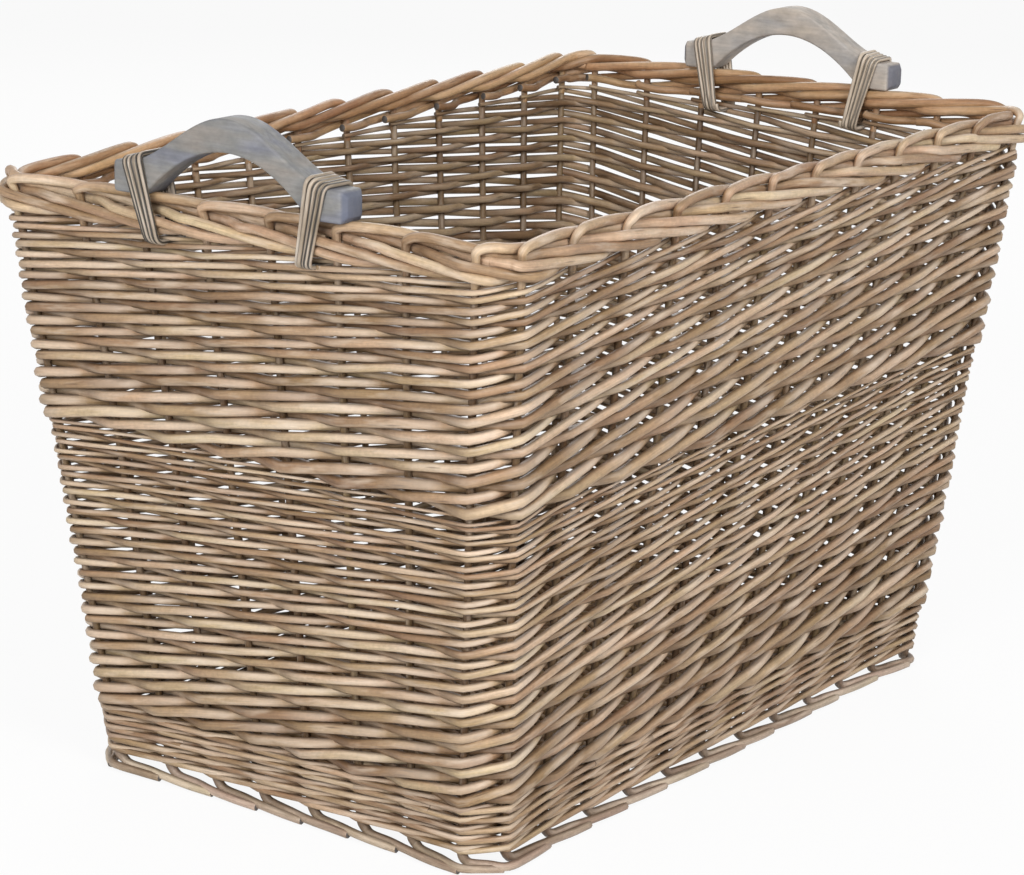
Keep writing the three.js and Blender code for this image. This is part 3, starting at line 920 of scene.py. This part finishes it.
def build_floor():
    """The woven floor and its sticks."""
    wood = willow("willow_base", FLOOR_COLOURS, BROWN_CUT, bloom=0.4, crevice_shade=0.0, inside_shade=NO_INSIDE_SHADE)
    sticks = [f"base_stick_{number}" for number in range(1, FLOOR_STICK_COUNT + 1)]
    stand_for(floor_weave("base_weave", sticks, wood), "willow_base", "base_weave")
    for name in sticks:
        stand_for(floor_stick(name, wood), "willow_stake", name)


def build_handles():
    """The two handles and their lashings."""
    # The near handle takes a darker copy of the wood as painted shade, the far one a paler copy as painted
    # light.
    shaded_wood = washed_wood("handle_wood_shaded", SHADED_WOOD_COLOURS)
    lit_wood = washed_wood("handle_wood_lit", LIT_WOOD_COLOURS)
    # The near lashings take a darker copy of the cane as painted shade, the far ones a paler copy as painted
    # light.
    shaded_cane = peeled_cane("cane_shaded", SHADED_CANE_COLOURS, between_shade=0.05)
    lit_cane = peeled_cane("cane_lit", LIT_CANE_COLOURS, between_shade=0.25)
    for name, wood in (("handle_1", shaded_wood), ("handle_2", lit_wood)):
        stand_for(handle(name, wood), "handle_wood", name)
    for number, end, cane in ((1, -1, shaded_cane), (2, 1, lit_cane)):
        for letter, hand in (("a", 1), ("b", -1)):
            name = f"lashing_{number}{letter}"
            stand_for(lashing(name, end, hand, cane), "cane", name)


def seen_directly(tree):
    """1 for rays that show the background itself, and 0 for those that light the object."""
    path = add_node(tree, "ShaderNodeLightPath").outputs
    direct = reckon(tree, "MAXIMUM", path["Is Camera Ray"], path["Is Glossy Ray"])
    return reckon(tree, "MAXIMUM", direct, path["Is Transmission Ray"])


def lay_floor():
    """A plain white floor that keeps a soft shadow."""
    shape = bmesh.new()
    bmesh.ops.create_grid(shape, x_segments=1, y_segments=1, size=STUDIO_FLOOR_HALF)
    mesh = bpy.data.meshes.new("studio_floor")
    shape.to_mesh(mesh)
    shape.free()
    material, tree, shader = start_material("studio_floor")
    shader.inputs["Base Color"].default_value = STUDIO_FLOOR_GREY
    shader.inputs["Roughness"].default_value = 0.9
    shader.inputs["Specular IOR Level"].default_value = 0.1
    glow = add_node(tree, "ShaderNodeEmission", {"Color": WHITE, "Strength": 1.0})
    amount = reckon(tree, "MULTIPLY", seen_directly(tree), STUDIO_FLOOR_WHITE_SHARE)
    inputs = {0: amount, 1: shader.outputs["BSDF"], 2: glow.outputs["Emission"]}
    mixed = add_node(tree, "ShaderNodeMixShader", inputs)
    tree.links.new(mixed.outputs["Shader"], tree.nodes["Material Output"].inputs["Surface"])
    place("studio_floor", mesh, material)


def light_studio():
    """Soft light from all round, a lamp on each side of the camera and a weaker one behind the basket."""
    world = bpy.data.worlds.new("studio")
    bpy.context.scene.world = world
    world.use_nodes = True
    tree = world.node_tree
    tree.nodes.clear()
    light = add_node(tree, "ShaderNodeBackground", {"Color": WHITE, "Strength": WORLD_LIGHT})
    white = add_node(tree, "ShaderNodeBackground", {"Color": WHITE, "Strength": 1.0})
    inputs = {0: seen_directly(tree), 1: light.outputs[0], 2: white.outputs[0]}
    mixed = add_node(tree, "ShaderNodeMixShader", inputs)
    output = add_node(tree, "ShaderNodeOutputWorld")
    tree.links.new(mixed.outputs["Shader"], output.inputs["Surface"])
    for name, spot, size, power in LAMPS:
        add_lamp(name, spot, size, power)


def add_lamp(name, spot, size, power):
    """A square soft lamp that points at the middle of the basket."""
    data = bpy.data.lights.new(name, "AREA")
    data.size = size
    data.energy = power
    lamp = bpy.data.objects.new(name, data)
    lamp.location = spot
    aim = Vector(LAMP_TARGET) - Vector(spot)
    lamp.rotation_euler = aim.to_track_quat("-Z", "Y").to_euler()
    bpy.context.scene.collection.objects.link(lamp)


def place_camera():
    """The camera that took the photograph, as fitted to it."""
    azimuth, elevation, roll = (math.radians(angle) for angle in CAMERA_ANGLES)
    level = math.cos(elevation)
    back = Vector((math.sin(azimuth) * level, -math.cos(azimuth) * level, math.sin(elevation)))
    right = (-back).cross(Vector((0.0, 0.0, 1.0))).normalized()
    up = right.cross(-back)
    across = right * math.cos(roll) + up * math.sin(roll)
    upright = up * math.cos(roll) - right * math.sin(roll)
    data = bpy.data.cameras.new("photo_camera")
    data.sensor_width = SENSOR_WIDTH
    data.lens = FOCAL_PIXELS / PHOTO_WIDTH * SENSOR_WIDTH
    camera = bpy.data.objects.new("photo_camera", data)
    turn = Matrix((across, upright, back)).transposed().to_4x4()
    camera.matrix_world = Matrix.Translation(CAMERA_PLACE) @ turn
    bpy.context.scene.collection.objects.link(camera)
    bpy.context.scene.camera = camera


place_camera()
build_wall()
build_floor()
build_handles()
lay_floor()
light_studio()
bpy.context.scene.view_settings.view_transform = "Standard"
